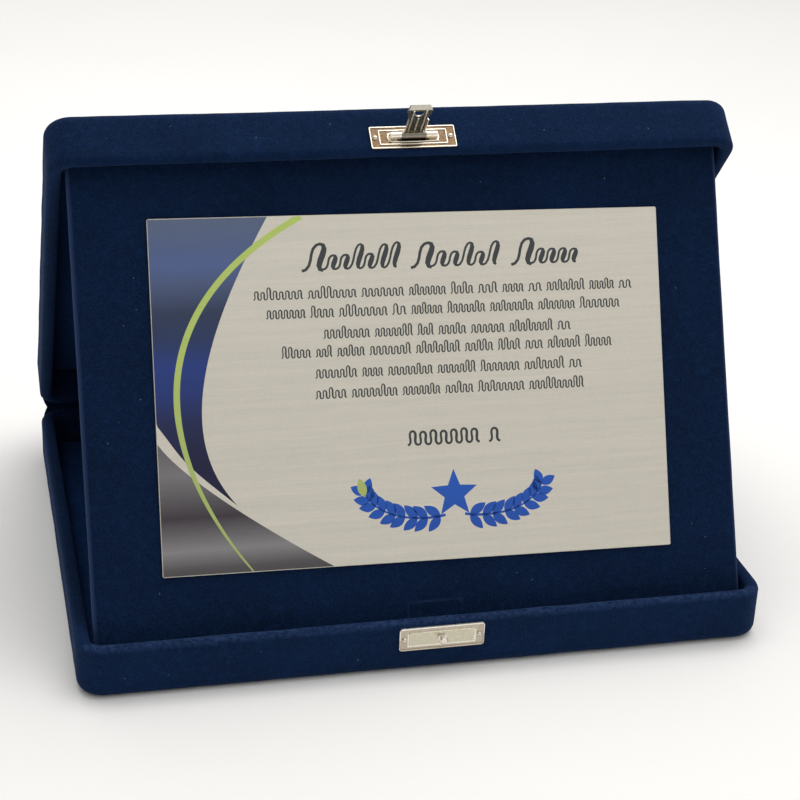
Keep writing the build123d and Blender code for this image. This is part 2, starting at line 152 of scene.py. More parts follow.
def mesh_from(points, faces, place=None):
    mesh = bpy.data.meshes.new("piece")
    mesh.from_pydata(points, [], faces)
    shape = bmesh.new()
    shape.from_mesh(mesh)
    bmesh.ops.remove_doubles(shape, verts=shape.verts, dist=1e-6)
    bmesh.ops.dissolve_degenerate(shape, edges=shape.edges, dist=1e-7)
    bmesh.ops.recalc_face_normals(shape, faces=shape.faces)
    if place is not None:
        bmesh.ops.transform(shape, matrix=place, verts=shape.verts)
    shape.to_mesh(mesh)
    shape.free()
    return mesh


def rounded_loop(half_x, half_y, radius, across, along, corner=8):
    """Points round a rounded rectangle, with as many at every size so that loops can be joined."""
    radius = min(radius, half_x, half_y)
    flat_x, flat_y = half_x - radius, half_y - radius
    loop = []
    for quarter, (sx, sy) in enumerate(((1, -1), (1, 1), (-1, 1), (-1, -1))):
        for i in range(corner + 1):
            turn = math.pi / 2 * (quarter - 1 + i / corner)
            loop.append((sx * flat_x + radius * math.cos(turn), sy * flat_y + radius * math.sin(turn)))
        steps = along if quarter % 2 == 0 else across
        end_x, end_y = ((flat_x, flat_y), (-flat_x, flat_y), (-flat_x, -flat_y), (flat_x, -flat_y))[quarter]
        turn = math.pi / 2 * quarter
        end = (end_x + radius * math.cos(turn), end_y + radius * math.sin(turn))
        start = loop[-1]
        for i in range(1, steps):
            share = i / steps
            loop.append((start[0] + (end[0] - start[0]) * share, start[1] + (end[1] - start[1]) * share))
    return loop


def lofted(profile, half_x, half_y, radius, spacing, closed=False):
    """Faces between rounded loops, which may shrink to a line. profile lists (inset, height)."""
    across, along = round(2 * (half_x - radius) / spacing), round(2 * (half_y - radius) / spacing)
    points, faces = [], []
    for inset, height in profile:
        inner = radius * max(0.0, 1 - inset / min(half_x, half_y))
        inner = radius - inset if inset < 0.55 * radius else min(inner, 0.45 * radius)
        loop = rounded_loop(half_x - inset, max(half_y - inset, 0.0), max(inner, 0.0), across, along)
        points += [(x, y, height) for x, y in loop]
    size = len(points) // len(profile)
    rows = len(profile)
    for row in range(rows if closed else rows - 1):
        a, b = row * size, (row + 1) % rows * size
        faces += [(a + i, a + (i + 1) % size, b + (i + 1) % size, b + i) for i in range(size)]
    return points, faces


def arc(centre, radius, start, end, steps):
    """Points of an arc in degrees, ends included."""
    turns = [math.radians(start + (end - start) * i / steps) for i in range(steps + 1)]
    return [(centre[0] + radius * math.cos(t), centre[1] + radius * math.sin(t)) for t in turns]


def line(start, end, steps):
    """Points between two ends, which are left out."""
    shares = [i / steps for i in range(1, steps)]
    return [(start[0] + (end[0] - start[0]) * s, start[1] + (end[1] - start[1]) * s) for s in shares]


def soften(mesh, height, size, seed, keep_below=None):
    """Moves the surface in and out a little, as cloth over foam and wood."""
    shift = Vector((seed * 3.7, seed * 1.3, seed * 2.1))
    mesh.calc_loop_triangles()
    normals = [v.normal.copy() for v in mesh.vertices]
    for v, normal in zip(mesh.vertices, normals):
        if keep_below is not None and v.co.z < keep_below:
            continue
        wave = noise.noise(v.co / size + shift) + 0.4 * noise.noise(v.co * 3 / size + shift)
        v.co += normal * height * wave
    mesh.update()


def thickened(piece, depth, outward=False):
    """Gives a sheet its thickness, in its mesh: inwards with even walls, or outwards along its normals."""
    solid = piece.modifiers.new("thickness", "SOLIDIFY")
    solid.thickness, solid.offset = depth, 1 if outward else -1
    solid.use_even_offset = not outward
    bpy.context.view_layer.update()
    seen = piece.evaluated_get(bpy.context.evaluated_depsgraph_get())
    mesh = bpy.data.meshes.new_from_object(seen)
    piece.modifiers.clear()
    piece.data = mesh


# ---------------------------------------------------------------- material helpers
class Nodes:
    """A material's node tree with short calls for what these materials use."""

    def __init__(self, name):
        self.material = bpy.data.materials.new(name)
        self.material.use_nodes = True
        self.tree = self.material.node_tree
        self.shader = self.tree.nodes["Principled BSDF"]
        self.place = self.tree.nodes.new("ShaderNodeTexCoord").outputs["Object"]

    def link(self, source, target):
        self.tree.links.new(source, target)

    def mapped(self, scale=(1, 1, 1), turn=(0, 0, 0)):
        """Coordinates turned first, then scaled along their new axes."""
        turned = self.tree.nodes.new("ShaderNodeMapping")
        turned.inputs["Rotation"].default_value = turn
        self.link(self.place, turned.inputs["Vector"])
        scaled = self.tree.nodes.new("ShaderNodeMapping")
        scaled.inputs["Scale"].default_value = scale
        self.link(turned.outputs["Vector"], scaled.inputs["Vector"])
        return scaled.outputs["Vector"]

    def noise(self, scale, detail=2.0, rough=0.5, at=None):
        node = self.tree.nodes.new("ShaderNodeTexNoise")
        node.inputs["Scale"].default_value = scale
        node.inputs["Detail"].default_value = detail
        node.inputs["Roughness"].default_value = rough
        self.link(at or self.place, node.inputs["Vector"])
        return node.outputs["Fac"]

    def ramp(self, source, *stops):
        """Colours or greys by position: each stop is (position, (r, g, b)) or (position, grey)."""
        node = self.tree.nodes.new("ShaderNodeValToRGB")
        elements = node.color_ramp.elements
        while len(elements) < len(stops):
            elements.new(0.5)
        for element, (position, colour) in zip(elements, stops):
            element.position = position
            rgb = colour if isinstance(colour, tuple) else (colour,) * 3
            element.color = (*rgb, 1)
        self.link(source, node.inputs["Fac"])
        return node.outputs["Color"]

    def mix(self, share, first, second, how="MIX"):
        node = self.tree.nodes.new("ShaderNodeMix")
        node.data_type, node.blend_type = "RGBA", how
        for socket, value in ((node.inputs[0], share), (node.inputs[6], first), (node.inputs[7], second)):
            if isinstance(value, bpy.types.NodeSocket):
                self.link(value, socket)
            else:
                socket.default_value = (*value, 1) if isinstance(value, tuple) else value
        return node.outputs[2]

    def math(self, how, first, second):
        node = self.tree.nodes.new("ShaderNodeMath")
        node.operation = how
        for socket, value in zip(node.inputs, (first, second)):
            if isinstance(value, bpy.types.NodeSocket):
                self.link(value, socket)
            else:
                socket.default_value = value
        return node.outputs["Value"]

    def bump(self, height, distance, strength=1.0):
        node = self.tree.nodes.new("ShaderNodeBump")
        node.inputs["Distance"].default_value = distance
        node.inputs["Strength"].default_value = strength
        self.link(height, node.inputs["Height"])
        self.link(node.outputs["Normal"], self.shader.inputs["Normal"])

    def colour(self, source):
        self.link(source, self.shader.inputs["Base Color"])

    def roughness(self, source):
        self.link(source, self.shader.inputs["Roughness"])

    def set(self, **values):
        for name, value in values.items():
            self.shader.inputs[name.replace("_", " ")].default_value = value


def scaled(factor, colour):
    return tuple(factor * c for c in colour)


def velvet(name, deep, pile, sheen, paler_mask):
    """Short cut pile: fine light and dark tufts, nap that leans in patches, and a soft sheen."""
    m = Nodes(name)
    tufts = m.noise(2000, 2.0, 0.6)
    nap = m.noise(38, 2.0, 0.55)
    patches = m.noise(420, 3.0, 0.6)
    body = m.mix(m.ramp(tufts, (0.38, 0.0), (0.64, 1.0)), deep, pile)
    body = m.mix(m.ramp(nap, (0.35, 0.0), (0.7, 0.3)), body, scaled(0.5, deep))
    body = m.mix(m.ramp(patches, (0.5, 0.0), (0.8, 0.4)), body, scaled(1.6, pile))
    # paler where the mask says; on the panel's side edges this is painted sheen
    if paler_mask:
        body = m.mix(paler_mask(m), body, tuple(1.5 * c + 0.016 for c in pile))
    m.colour(body)
    m.bump(m.math("ADD", tufts, m.math("MULTIPLY", patches, 0.6)), 0.3 * MM, 0.8)
    m.set(Roughness=0.95, Specular_IOR_Level=0.1)
    m.set(Sheen_Weight=sheen, Sheen_Roughness=0.4, Sheen_Tint=(0.16, 0.36, 0.85, 1))
    return m.material


def nickel(name, colour, rough, stain=0.35):
    """Bright pressed metal with wiping marks and dulled spots. colour is fixed, or colour(m) by place."""
    m = Nodes(name)
    smear = m.noise(900, 3.0, 0.6)
    grain = m.noise(6500, 1.0)
    dulled = m.ramp(smear, (0.35, 1.0), (0.7, 1 - stain / 2))
    m.colour(m.mix(1.0, colour(m) if callable(colour) else colour, dulled, "MULTIPLY"))
    m.roughness(m.ramp(smear, (0.2, rough), (0.8, rough + 0.16)))
    m.bump(grain, 0.02 * MM, 0.5)
    m.set(Metallic=1.0)
    return m.material


def local_parts(m, at, turn):
    """Coordinates in a piece's own frame, which stands at a point and is turned about X."""
    local = m.tree.nodes.new("ShaderNodeMapping")
    local.vector_type = "TEXTURE"
    local.inputs["Location"].default_value = at
    local.inputs["Rotation"].default_value = (turn, 0, 0)
    m.link(m.place, local.inputs["Vector"])
    part = m.tree.nodes.new("ShaderNodeSeparateXYZ")
    m.link(local.outputs["Vector"], part.inputs[0])
    return part.outputs


def band(m, off, half):
    """One along a line, falling to nothing at half a width to either side of it."""
    return m.math("SUBTRACT", 1, m.math("MINIMUM", 1, m.math("DIVIDE", m.math("ABSOLUTE", off, 0), half)))


def by_height(m, part, *stops):
    """A colour by height in a piece's own frame: each stop is (height, colour)."""
    low, high = stops[0][0], stops[-1][0]
    share = m.math("DIVIDE", m.math("SUBTRACT", part["Z"], low), high - low)
    return m.ramp(share, *[((height - low) / (high - low), colour) for height, colour in stops])


def catch_tones(m):
    """Greyed flat edge, warm raised field with a painted highlight round its lower edge and sides, and a
    pale rim with a painted highlight on its upper half.
    """
    part = local_parts(m, CATCH_FOOT, CATCH_TURN)

    def outside(half_x, half_y):
        beyond_x = m.math("SUBTRACT", m.math("ABSOLUTE", part["X"], 0), half_x)
        return m.math("MAXIMUM", beyond_x, m.math("SUBTRACT", m.math("ABSOLUTE", part["Y"], 0), half_y))

    field, flat, painted_highlight = (0.66, 0.62, 0.49), (0.56, 0.49, 0.40), (0.92, 0.89, 0.78)
    rim_below, rim_highlight = (0.72, 0.66, 0.54), (1.0, 0.97, 0.87)
    from_field = outside(CATCH_FIELD[0] / 2, CATCH_FIELD[1] / 2)
    body = m.mix(m.math("GREATER_THAN", from_field, 0), field, flat)
    # a painted highlight along the field's edge, left off its upper edge
    lit = m.math("LESS_THAN", part["Y"], CATCH_FIELD[1] / 2 - CATCH_LIT)
    highlight_share = m.ramp(band(m, from_field, CATCH_HIGHLIGHT), (0.2, 0.0), (0.5, 1.0))
    body = m.mix(m.math("MULTIPLY", highlight_share, lit), body, painted_highlight)
    # the rim's upper half is a painted highlight
    rim = m.math("GREATER_THAN", outside(CATCH_RIM[0] / 2, CATCH_RIM[1] / 2), 0)
    return m.mix(rim, body, m.mix(m.math("GREATER_THAN", part["Y"], 0), rim_below, rim_highlight))


def clasp_tones(m):
    """Tarnished recesses between bright ridges, a paler slot round the barrel, and a painted shadow under
    the barrel.
    """
    part = local_parts(m, CLASP_FOOT, CLASP_TURN)
    dark_brown, brown = (0.135, 0.085, 0.05), (0.21, 0.145, 0.09)
    slot, shade = (0.62, 0.55, 0.45), (0.035, 0.033, 0.035)
    outside_x = m.math("SUBTRACT", m.math("ABSOLUTE", part["X"], 0), SLOT_HALF[0])
    outside_y = m.math("SUBTRACT", m.math("ABSOLUTE", part["Y"], 0), SLOT_HALF[1])
    in_slot = m.math("LESS_THAN", m.math("MAXIMUM", outside_x, outside_y), 0)
    tarnish = m.mix(m.ramp(m.noise(1400, 3.0), (0.35, 0.0), (0.65, 1.0)), dark_brown, brown)
    recess = m.mix(in_slot, tarnish, slot)
    # a painted shadow under the barrel
    under_x = m.math("LESS_THAN", m.math("ABSOLUTE", part["X"], 0), SHADE_HALF[0])
    below_axis = m.math("ABSOLUTE", m.math("ADD", part["Y"], SHADE_DROP), 0)
    under_y = m.math("LESS_THAN", below_axis, SHADE_HALF[1])
    recess = m.mix(m.math("MULTIPLY", under_x, under_y), recess, shade)
    raised = m.math("GREATER_THAN", part["Z"], RAISED_FROM)
    return m.mix(raised, recess, (1.0, 0.92, 0.78))


def hasp_tones(m):
    """Painted shade on the inner face, painted highlights on its ribs and turned-in edges, a lip lightened
    as painted highlight, and a barrel darkened as painted shade with a painted highlight along its top; the
    outside is plain.
    """
    part = local_parts(m, HASP_AXIS, HASP_TURN)
    painted_highlight, dark, outside = (0.95, 0.90, 0.80), (0.16, 0.15, 0.135), (0.62, 0.58, 0.5)
    # dark is painted shade on the inner face; the painted highlight lights the ribs and turned-in edges
    face = by_height(m, part, (0.3 * MM, painted_highlight), (0.6 * MM, painted_highlight), (0.7 * MM, dark),
                     (0.82 * MM, dark), (0.95 * MM, outside), (1.4 * MM, outside))
    # the barrel darkened as painted shade, with a painted highlight along its top
    barrel = by_height(m, part, (-1.2 * MM, (0.3, 0.27, 0.22)), (0.6 * MM, (0.34, 0.31, 0.25)),
                       (0.9 * MM, (0.8, 0.74, 0.62)), (1.2 * MM, (0.4, 0.36, 0.3)))
    # the lip lightened as a painted highlight
    face = m.mix(m.math("LESS_THAN", part["Y"], -LIP_START), face, (0.74, 0.70, 0.60))
    return m.mix(m.math("GREATER_THAN", part["Y"], -BARREL_END), face, barrel)


def brush_marks(m):
    """Fine streaks across the plate."""
    return m.noise(1, 3.0, 0.7, m.mapped((60, 5200, 60), (-LEAN, 0, 0)))


def brushed(name, colour, rough):
    """Aluminium brushed along the plate's width."""
    m = Nodes(name)
    fine = brush_marks(m)
    broad = m.noise(1, 2.0, 0.6, m.mapped((9, 700, 9), (-LEAN, 0, 0)))
    cloud = m.noise(900, 2.0, 0.6)
    streak = m.math("ADD", m.math("MULTIPLY", fine, 0.5), m.math("MULTIPLY", broad, 0.3))
    streak = m.math("ADD", streak, m.math("MULTIPLY", cloud, 0.2))
    m.colour(m.ramp(streak, (0.3, scaled(0.88, colour)), (0.7, scaled(1.07, colour))))
    m.roughness(m.ramp(streak, (0.3, rough - 0.05), (0.7, rough + 0.07)))
    m.bump(fine, 0.01 * MM, 0.5)
    m.set(Metallic=0.85)
    return m.material


def ink(name, *stops, metal=0.45, rough=0.42):
    """Translucent ink through which the brushing shows. Stops run down the plate, each (share, colour)."""
    m = Nodes(name)
    part = m.tree.nodes.new("ShaderNodeSeparateXYZ")
    m.link(m.place, part.inputs[0])
    down = m.math("DIVIDE", m.math("SUBTRACT", plate_high.z, part.outputs["Z"]), plate_high.z - plate_low.z)
    fine = brush_marks(m)
    m.colour(m.mix(0.6, m.ramp(down, *stops), m.ramp(fine, (0.3, 0.72), (0.7, 1.0)), "MULTIPLY"))
    m.roughness(m.ramp(fine, (0.3, rough - 0.05), (0.7, rough + 0.08)))
    m.set(Metallic=metal)
    return m.material


def timber(name, pale, dark, along):
    """Planed softwood with growth rings that run along an axis."""
    m = Nodes(name)
    scale = {"X": (6, 130, 130), "Y": (130, 6, 130)}[along]
    rings = m.noise(1, 4.0, 0.6, m.mapped(scale))
    pores = m.noise(1, 2.0, 0.7, m.mapped(scaled(12, scale)))
    body = m.ramp(rings, (0.3, dark), (0.55, pale), (0.75, scaled(0.9, pale)))
    m.colour(m.mix(m.ramp(pores, (0.5, 0.0), (0.8, 0.3)), body, dark))
    m.bump(pores, 0.1 * MM, 0.5)
    m.set(Roughness=0.68)
    return m.material


def speckled(name, first, second, scale, rough, depth):
    """A pressed or foamed sheet: two tones in fine grain, slightly pitted."""
    m = Nodes(name)
    grain = m.noise(scale, 4.0, 0.65)
    m.colour(m.ramp(grain, (0.35, first), (0.65, second)))
    m.roughness(m.ramp(grain, (0.3, rough), (0.8, min(1.0, rough + 0.1))))
    m.bump(grain, depth, 0.6)
    return m.material


def rim_top_paler(m):
    """Paler, tufted pile along the top of the base's front rim."""
    part = m.tree.nodes.new("ShaderNodeSeparateXYZ")
    m.link(m.place, part.inputs[0])
    near = band(m, m.math("SUBTRACT", part.outputs["Z"], RIM + 0.3 * MM), 2.2 * MM)
    in_front = m.math("LESS_THAN", part.outputs["Y"], FRONT + WALL)
    tufts = m.ramp(m.noise(700, 4.0, 0.7), (0.4, 0.1), (0.62, 1.0))
    return m.math("MULTIPLY", m.math("MULTIPLY", near, in_front), tufts)


def imprint_and_edge_sheen(m):
    """Paler pile where the closed clasp has pressed a faint rectangle, and paler side edges as painted
    sheen.
    """
    part = local_parts(m, PANEL_PLACE @ Vector(IMPRINT_MIDDLE), LEAN)
    beyond_x = m.math("SUBTRACT", m.math("ABSOLUTE", part["X"], 0), IMPRINT_HALF[0])
    beyond_y = m.math("SUBTRACT", m.math("ABSOLUTE", part["Y"], 0), IMPRINT_HALF[1])
    ring = band(m, m.math("MAXIMUM", beyond_x, beyond_y), 0.6 * MM)
    worn = m.ramp(m.noise(160, 2.0), (0.3, 0.1), (0.65, 0.7))
    # the side edges lightened: painted sheen
    from_middle = m.math("ABSOLUTE", m.math("ADD", part["X"], IMPRINT_MIDDLE[0]), 0)
    past_edge = m.math("SUBTRACT", from_middle, PANEL_WIDTH / 2 - PANEL_EDGE)
    edge_sheen = m.math("MINIMUM", 1, m.math("MAXIMUM", 0, m.math("DIVIDE", past_edge, 0.8 * PANEL_EDGE)))
    return m.math("MAXIMUM", m.math("MULTIPLY", ring, worn), edge_sheen)


IMPRINT_MIDDLE = (2.3 * MM, 10.8 * MM - PANEL_HEIGHT / 2, PANEL_THICK / 2)
IMPRINT_HALF = (9.6 * MM, 3.2 * MM)

NAVY_DEEP, NAVY_PILE = (0.0018, 0.0098, 0.036), (0.0052, 0.0225, 0.077)
cover_velvet = velvet("cover_velvet", NAVY_DEEP, NAVY_PILE, 0.1, rim_top_paler)
# the lining is the cover's velvet made paler: painted bounce light inside the trays
lining_velvet_painted_bounce = velvet("lining_velvet_painted_bounce", scaled(2.3, NAVY_DEEP), scaled(2.1, NAVY_PILE), 0.12, None)
panel_velvet = velvet("panel_velvet", scaled(0.85, NAVY_DEEP), scaled(0.85, NAVY_PILE), 0.1, imprint_and_edge_sheen)
catch_nickel = nickel("catch_nickel", catch_tones, 0.24, 0.25)
clasp_nickel = nickel("clasp_nickel", clasp_tones, 0.22, 0.2)
hasp_nickel = nickel("hasp_nickel", hasp_tones, 0.22, 0.3)
nail_nickel = nickel("nail_nickel", (0.86, 0.80, 0.70), 0.16, 0.3)
pin_steel = nickel("pin_steel", (0.62, 0.6, 0.57), 0.28)
plate_metal = brushed("plate_metal", (0.81, 0.775, 0.685), 0.42)

BLUE_STOPS = (
    (0.0, (0.135, 0.180, 0.285)), (0.09, (0.115, 0.160, 0.33)), (0.13, (0.11, 0.165, 0.375)),
    (0.18, (0.098, 0.135, 0.27)), (0.26, (0.042, 0.062, 0.125)), (0.33, (0.034, 0.055, 0.15)),
    (0.41, (0.028, 0.060, 0.285)), (0.48, (0.026, 0.052, 0.235)), (0.56, (0.023, 0.031, 0.11)),
    (0.66, (0.018, 0.020, 0.070)), (0.8, (0.014, 0.016, 0.052)),
)
GREY_STOPS = (
    (0.63, (0.17, 0.165, 0.18)), (0.70, (0.25, 0.24, 0.255)), (0.77, (0.14, 0.13, 0.145)),
    (0.82, (0.064, 0.054, 0.066)), (0.87, (0.19, 0.18, 0.195)), (0.91, (0.31, 0.30, 0.315)),
    (0.96, (0.12, 0.112, 0.12)), (1.0, (0.075, 0.07, 0.078)),
)
blue_ink = ink("blue_ink", *BLUE_STOPS)
grey_ink = ink("grey_ink", *GREY_STOPS)
green_ink = ink("green_ink", (0.0, (0.60, 0.76, 0.19)), (1.0, (0.46, 0.56, 0.19)), metal=0.3)
text_ink = ink("text_ink", (0.0, (0.055, 0.062, 0.068)), (1.0, (0.05, 0.055, 0.06)), metal=0.2)
emblem_ink = ink("emblem_ink", (0.7, (0.022, 0.13, 0.62)), (0.95, (0.014, 0.09, 0.48)), metal=0.3)


# ---------------------------------------------------------------- velvet over the trays
def tray_cover(name, node, body, place, seed):
    """One cloth from the inner walls' foot, over the rim, down the outside and across the outer face."""
    half_x, half_y = CASE_WIDTH / 2, CASE_DEPTH / 2
    step = 2.4 * MM
    inner_top, outer_top = (WALL, RIM - RIM_ROUND), (0, RIM - RIM_ROUND)
    profile = [(WALL, FLOOR_LOW), *line((WALL, FLOOR_LOW), inner_top, 6)]
    profile += arc((WALL - RIM_ROUND, RIM - RIM_ROUND), RIM_ROUND, 0, 90, 5)
    profile += arc((RIM_ROUND, RIM - RIM_ROUND), RIM_ROUND, 90, 180, 5)
    profile += line(outer_top, (0, EDGE), 6)
    profile += arc((EDGE, EDGE), EDGE, 180, 270, 7)
    profile += [*line((EDGE, 0), (half_y, 0), round((half_y - EDGE) / step)), (half_y, 0)]
    points, faces = lofted(profile, half_x, half_y, CORNER, step)
    mesh = mesh_from(points, faces)
    piece = new_object(name, mesh, cover_velvet)
    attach(piece, body)
    soften(mesh, 0.16 * MM, 16 * MM, seed, keep_below=0.5 * MM if body == "base" else None)
    thickened(piece, CLOTH)
    piece.data.transform(place)
    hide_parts(node)


def tray_lining(name, node, body, place, seed):
    """The loose velvet-faced sheet on a tray's floor, with soft edges."""
    half_x, half_y = CASE_WIDTH / 2 - WALL - 0.15 * MM, CASE_DEPTH / 2 - WALL - 0.15 * MM
    thick, step = FLOOR - FLOOR_LOW, 2.6 * MM
    edge = 0.35 * MM
    steps = round((half_y - edge) / step)
    profile = [(half_y, 0), *line((half_y, 0), (edge, 0), steps)]
    profile += arc((edge, edge), edge, 270, 180, 3)
    profile += arc((edge, thick - edge), edge, 180, 90, 3)
    profile += [*line((edge, thick), (half_y, thick), steps), (half_y, thick)]
    points, faces = lofted(profile, half_x, half_y, CORNER - WALL, step)
    mesh = mesh_from([(x, y, z + FLOOR_LOW) for x, y, z in points], faces)
    piece = new_object(name, mesh, lining_velvet_painted_bounce)
    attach(piece, body)
    soften(mesh, 0.12 * MM, 22 * MM, seed, keep_below=FLOOR_LOW + 0.5 * thick)
    mesh.transform(place)
    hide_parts(node)


tray_cover("base_cloth", "base_velvet_cover", "base", BASE_PLACE, 1)
tray_cover("lid_cloth", "lid_velvet_cover", "lid", LID_PLACE, 2)
tray_lining("base_floor_cloth", "base_lining", "base", BASE_PLACE, 3)
tray_lining("lid_floor_cloth", "lid_lining", "lid", LID_PLACE, 4)


# ---------------------------------------------------------------- velvet strips across the hinged edge
SPINE_GLUED = 8.0 * MM      # on each back wall
SPINE_THICK = 0.5 * MM
SPINE_FLARE = 2.3 * MM      # how far a corner's strip widens towards each tray
FLARE_FROM = 8.0 * MM       # before the strip's end
SPINE_SAG = 0.9 * MM        # of the bend, towards the hinge's axis
SPINE_RIPPLE = 0.12 * MM
BACK = -FRONT


def spine(name, start, end):
    """A strip glued to both back walls that closes the gap beside a hinge, bent as the open lid holds it."""
    below = Vector((0, BACK, RIM - RIM_ROUND))
    above = SWING @ Vector((0, BACK, RIM + RIM_ROUND))
    up_lid = (SWING.to_3x3() @ Vector((0, 0, 1))).normalized()
    out_lid = (SWING.to_3x3() @ Vector((0, 1, 0))).normalized()
    first, last = below - HINGE, above - HINGE
    turn_from, turn_to = math.atan2(first.z, first.y), math.atan2(last.z, last.y)
    # each (point, share of the way from base to lid)
    path = [(below - Vector((0, 0, SPINE_GLUED * (1 - i / 5))), 0.0) for i in range(5)]
    for i in range(13):
        share = i / 12
        turn = turn_from + (turn_to - turn_from) * share
        reach = first.length + (last.length - first.length) * share - SPINE_SAG * math.sin(math.pi * share)
        path.append((HINGE + Vector((0, math.cos(turn), math.sin(turn))) * reach, share))
    path += [(above + up_lid * SPINE_GLUED * (i + 1) / 5, 1.0) for i in range(5)]
    columns = round((end - start) / (1.2 * MM))
    corner_from = CASE_WIDTH / 2 - CORNER
    points = []
    for column in range(columns + 1):
        along = start + (end - start) * column / columns
        outer = max(0.0, abs(along) - SPINE_END + FLARE_FROM) / FLARE_FROM
        for point, share in path:
            x = along + math.copysign(outer * SPINE_FLARE * abs(2 * share - 1), along)
            past = max(0.0, abs(x) - corner_from)
            back_off = CORNER - math.sqrt(max(CORNER**2 - past**2, 0.0))
            inward = Vector((0, -1, 0)).lerp(-out_lid, share) * back_off
            ripple = SPINE_RIPPLE * noise.noise(Vector((x * 150, share * 3, 0)))
            points.append(point + inward + Vector((x, ripple, 0)))
    size = len(path)
    faces = [
        (c * size + r, c * size + r + 1, (c + 1) * size + r + 1, (c + 1) * size + r)
        for c in range(columns) for r in range(size - 1)
    ]
    mesh = mesh_from(points, faces)
    if mesh.polygons[0].normal.y < 0:
        mesh.flip_normals()
    piece = new_object(name, mesh, cover_velvet)
    thickened(piece, SPINE_THICK, outward=True)
    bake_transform(piece)
    length = sum((b[0] - a[0]).length for a, b in zip(path, path[1:]))


hinge_low, hinge_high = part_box("right_hinge_base_leaf")
spine_in, spine_out = hinge_low.x - 1.2 * MM, hinge_high.x + 1.2 * MM
SPINE_END = CASE_WIDTH / 2 - 3.2 * MM
spine("spine_left", -SPINE_END, -spine_out)
spine("spine_middle", -spine_in, spine_in)
spine("spine_right", spine_out, SPINE_END)


# ---------------------------------------------------------------- panel
def panel_cloth():
    """Velvet stretched over the panel's front and turned in at the back."""
    half_x, half_y = PANEL_WIDTH / 2, PANEL_HEIGHT / 2
    top, step = PANEL_THICK / 2, 2.4 * MM
    steps = round((half_y - PANEL_EDGE) / step)
    profile = [(half_y, top), *line((half_y, top), (PANEL_EDGE, top), steps)]
    profile += arc((PANEL_EDGE, top - PANEL_EDGE), PANEL_EDGE, 90, 180, 5)
    profile += arc((PANEL_EDGE, PANEL_EDGE - top), PANEL_EDGE, 180, 270, 5)
    profile += [*line((PANEL_EDGE, -top), (TURN_IN, -top), 6), (TURN_IN, -top)]
    points, faces = lofted(profile, half_x, half_y, 1.8 * MM, step)
    mesh = mesh_from(points, faces)
    piece = new_object("panel_cloth", mesh, panel_velvet)
    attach(piece, "panel")
    soften(mesh, 0.1 * MM, 20 * MM, 5)
    thickened(piece, CLOTH)
    piece.data.transform(PANEL_PLACE)
    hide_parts("panel_velvet")


panel_cloth()


# ---------------------------------------------------------------- print on the plate
# Drawn in millimetres on the plate's face, x from its left edge and y down from its top.
PRINT_WIDTH, PRINT_HEIGHT = PLATE_WIDTH / MM, PLATE_HEIGHT / MM
BARE_EDGE = 0.25
FILM_FOOT, FIELD_TOP, ARC_TOP = 0.27, 0.33, 0.36       # heights above the plate's middle
LEAF_WIDTH, LEAF_LEAN = 3.2, 0.72


def film(name, patches, material, top):
    """A thin raised print. Each patch is (points, faces) on the plate's face."""
    shape = bmesh.new()
    for points, faces in patches:
        corners = [
            shape.verts.new(((x - PRINT_WIDTH / 2) * MM, (PRINT_HEIGHT / 2 - y) * MM, FILM_FOOT * MM))
            for x, y in points
        ]
        for face in faces:
            shape.faces.new([corners[i] for i in face])
    grown = bmesh.ops.extrude_face_region(shape, geom=shape.faces[:], use_keep_orig=True)
    raised = [part for part in grown["geom"] if isinstance(part, bmesh.types.BMVert)]
    bmesh.ops.translate(shape, verts=raised, vec=(0, 0, (top - FILM_FOOT) * MM))
    bmesh.ops.recalc_face_normals(shape, faces=shape.faces)
    bmesh.ops.transform(shape, matrix=PLATE_PLACE, verts=shape.verts)
    mesh = bpy.data.meshes.new(name)
    shape.to_mesh(mesh)
    shape.free()
    piece = new_object(name, mesh, material, smooth=False)
    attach(piece, "panel")


def bezier(ends, steps=60):
    """Points along a cubic curve given by its four control points."""
    a, b, c, d = (Vector(p) for p in ends)
    curve = []
    for i in range(steps + 1):
        t = i / steps
        curve.append(a * (1 - t)**3 + b * 3 * t * (1 - t)**2 + c * 3 * t**2 * (1 - t) + d * t**3)
    return curve


def across_at(curve, y):
    """Where a curve that runs down the plate crosses a height."""
    for p, q in zip(curve, curve[1:]):
        if p.y <= y <= q.y:
            return p.x + (q.x - p.x) * (y - p.y) / max(q.y - p.y, 1e-9)
    return curve[0].x if y < curve[0].y else curve[-1].x


def between(left, right, top, bottom, rows=70):
    """A patch between two edges, each given as x at a height."""
    points, faces = [], []
    for i in range(rows + 1):
        y = top + (bottom - top) * i / rows
        points += [(left(y), y), (max(right(y), left(y) + 0.01), y)]
    faces = [(2 * i, 2 * i + 1, 2 * i + 3, 2 * i + 2) for i in range(rows)]
    return points, faces


def ribbon(path, width):
    """A patch along a path; width gives its breadth at each share of the way."""
    points = []
    for i, p in enumerate(path):
        before, after = path[max(i - 1, 0)], path[min(i + 1, len(path) - 1)]
        along = (after - before).normalized()
        side = Vector((-along.y, along.x)) * width(i / (len(path) - 1)) / 2
        for q in (p + side, p - side):
            points.append((q.x, min(max(q.y, BARE_EDGE), PRINT_HEIGHT - BARE_EDGE)))
    faces = [(2 * i, 2 * i + 1, 2 * i + 3, 2 * i + 2) for i in range(len(path) - 1)]
    return points, faces


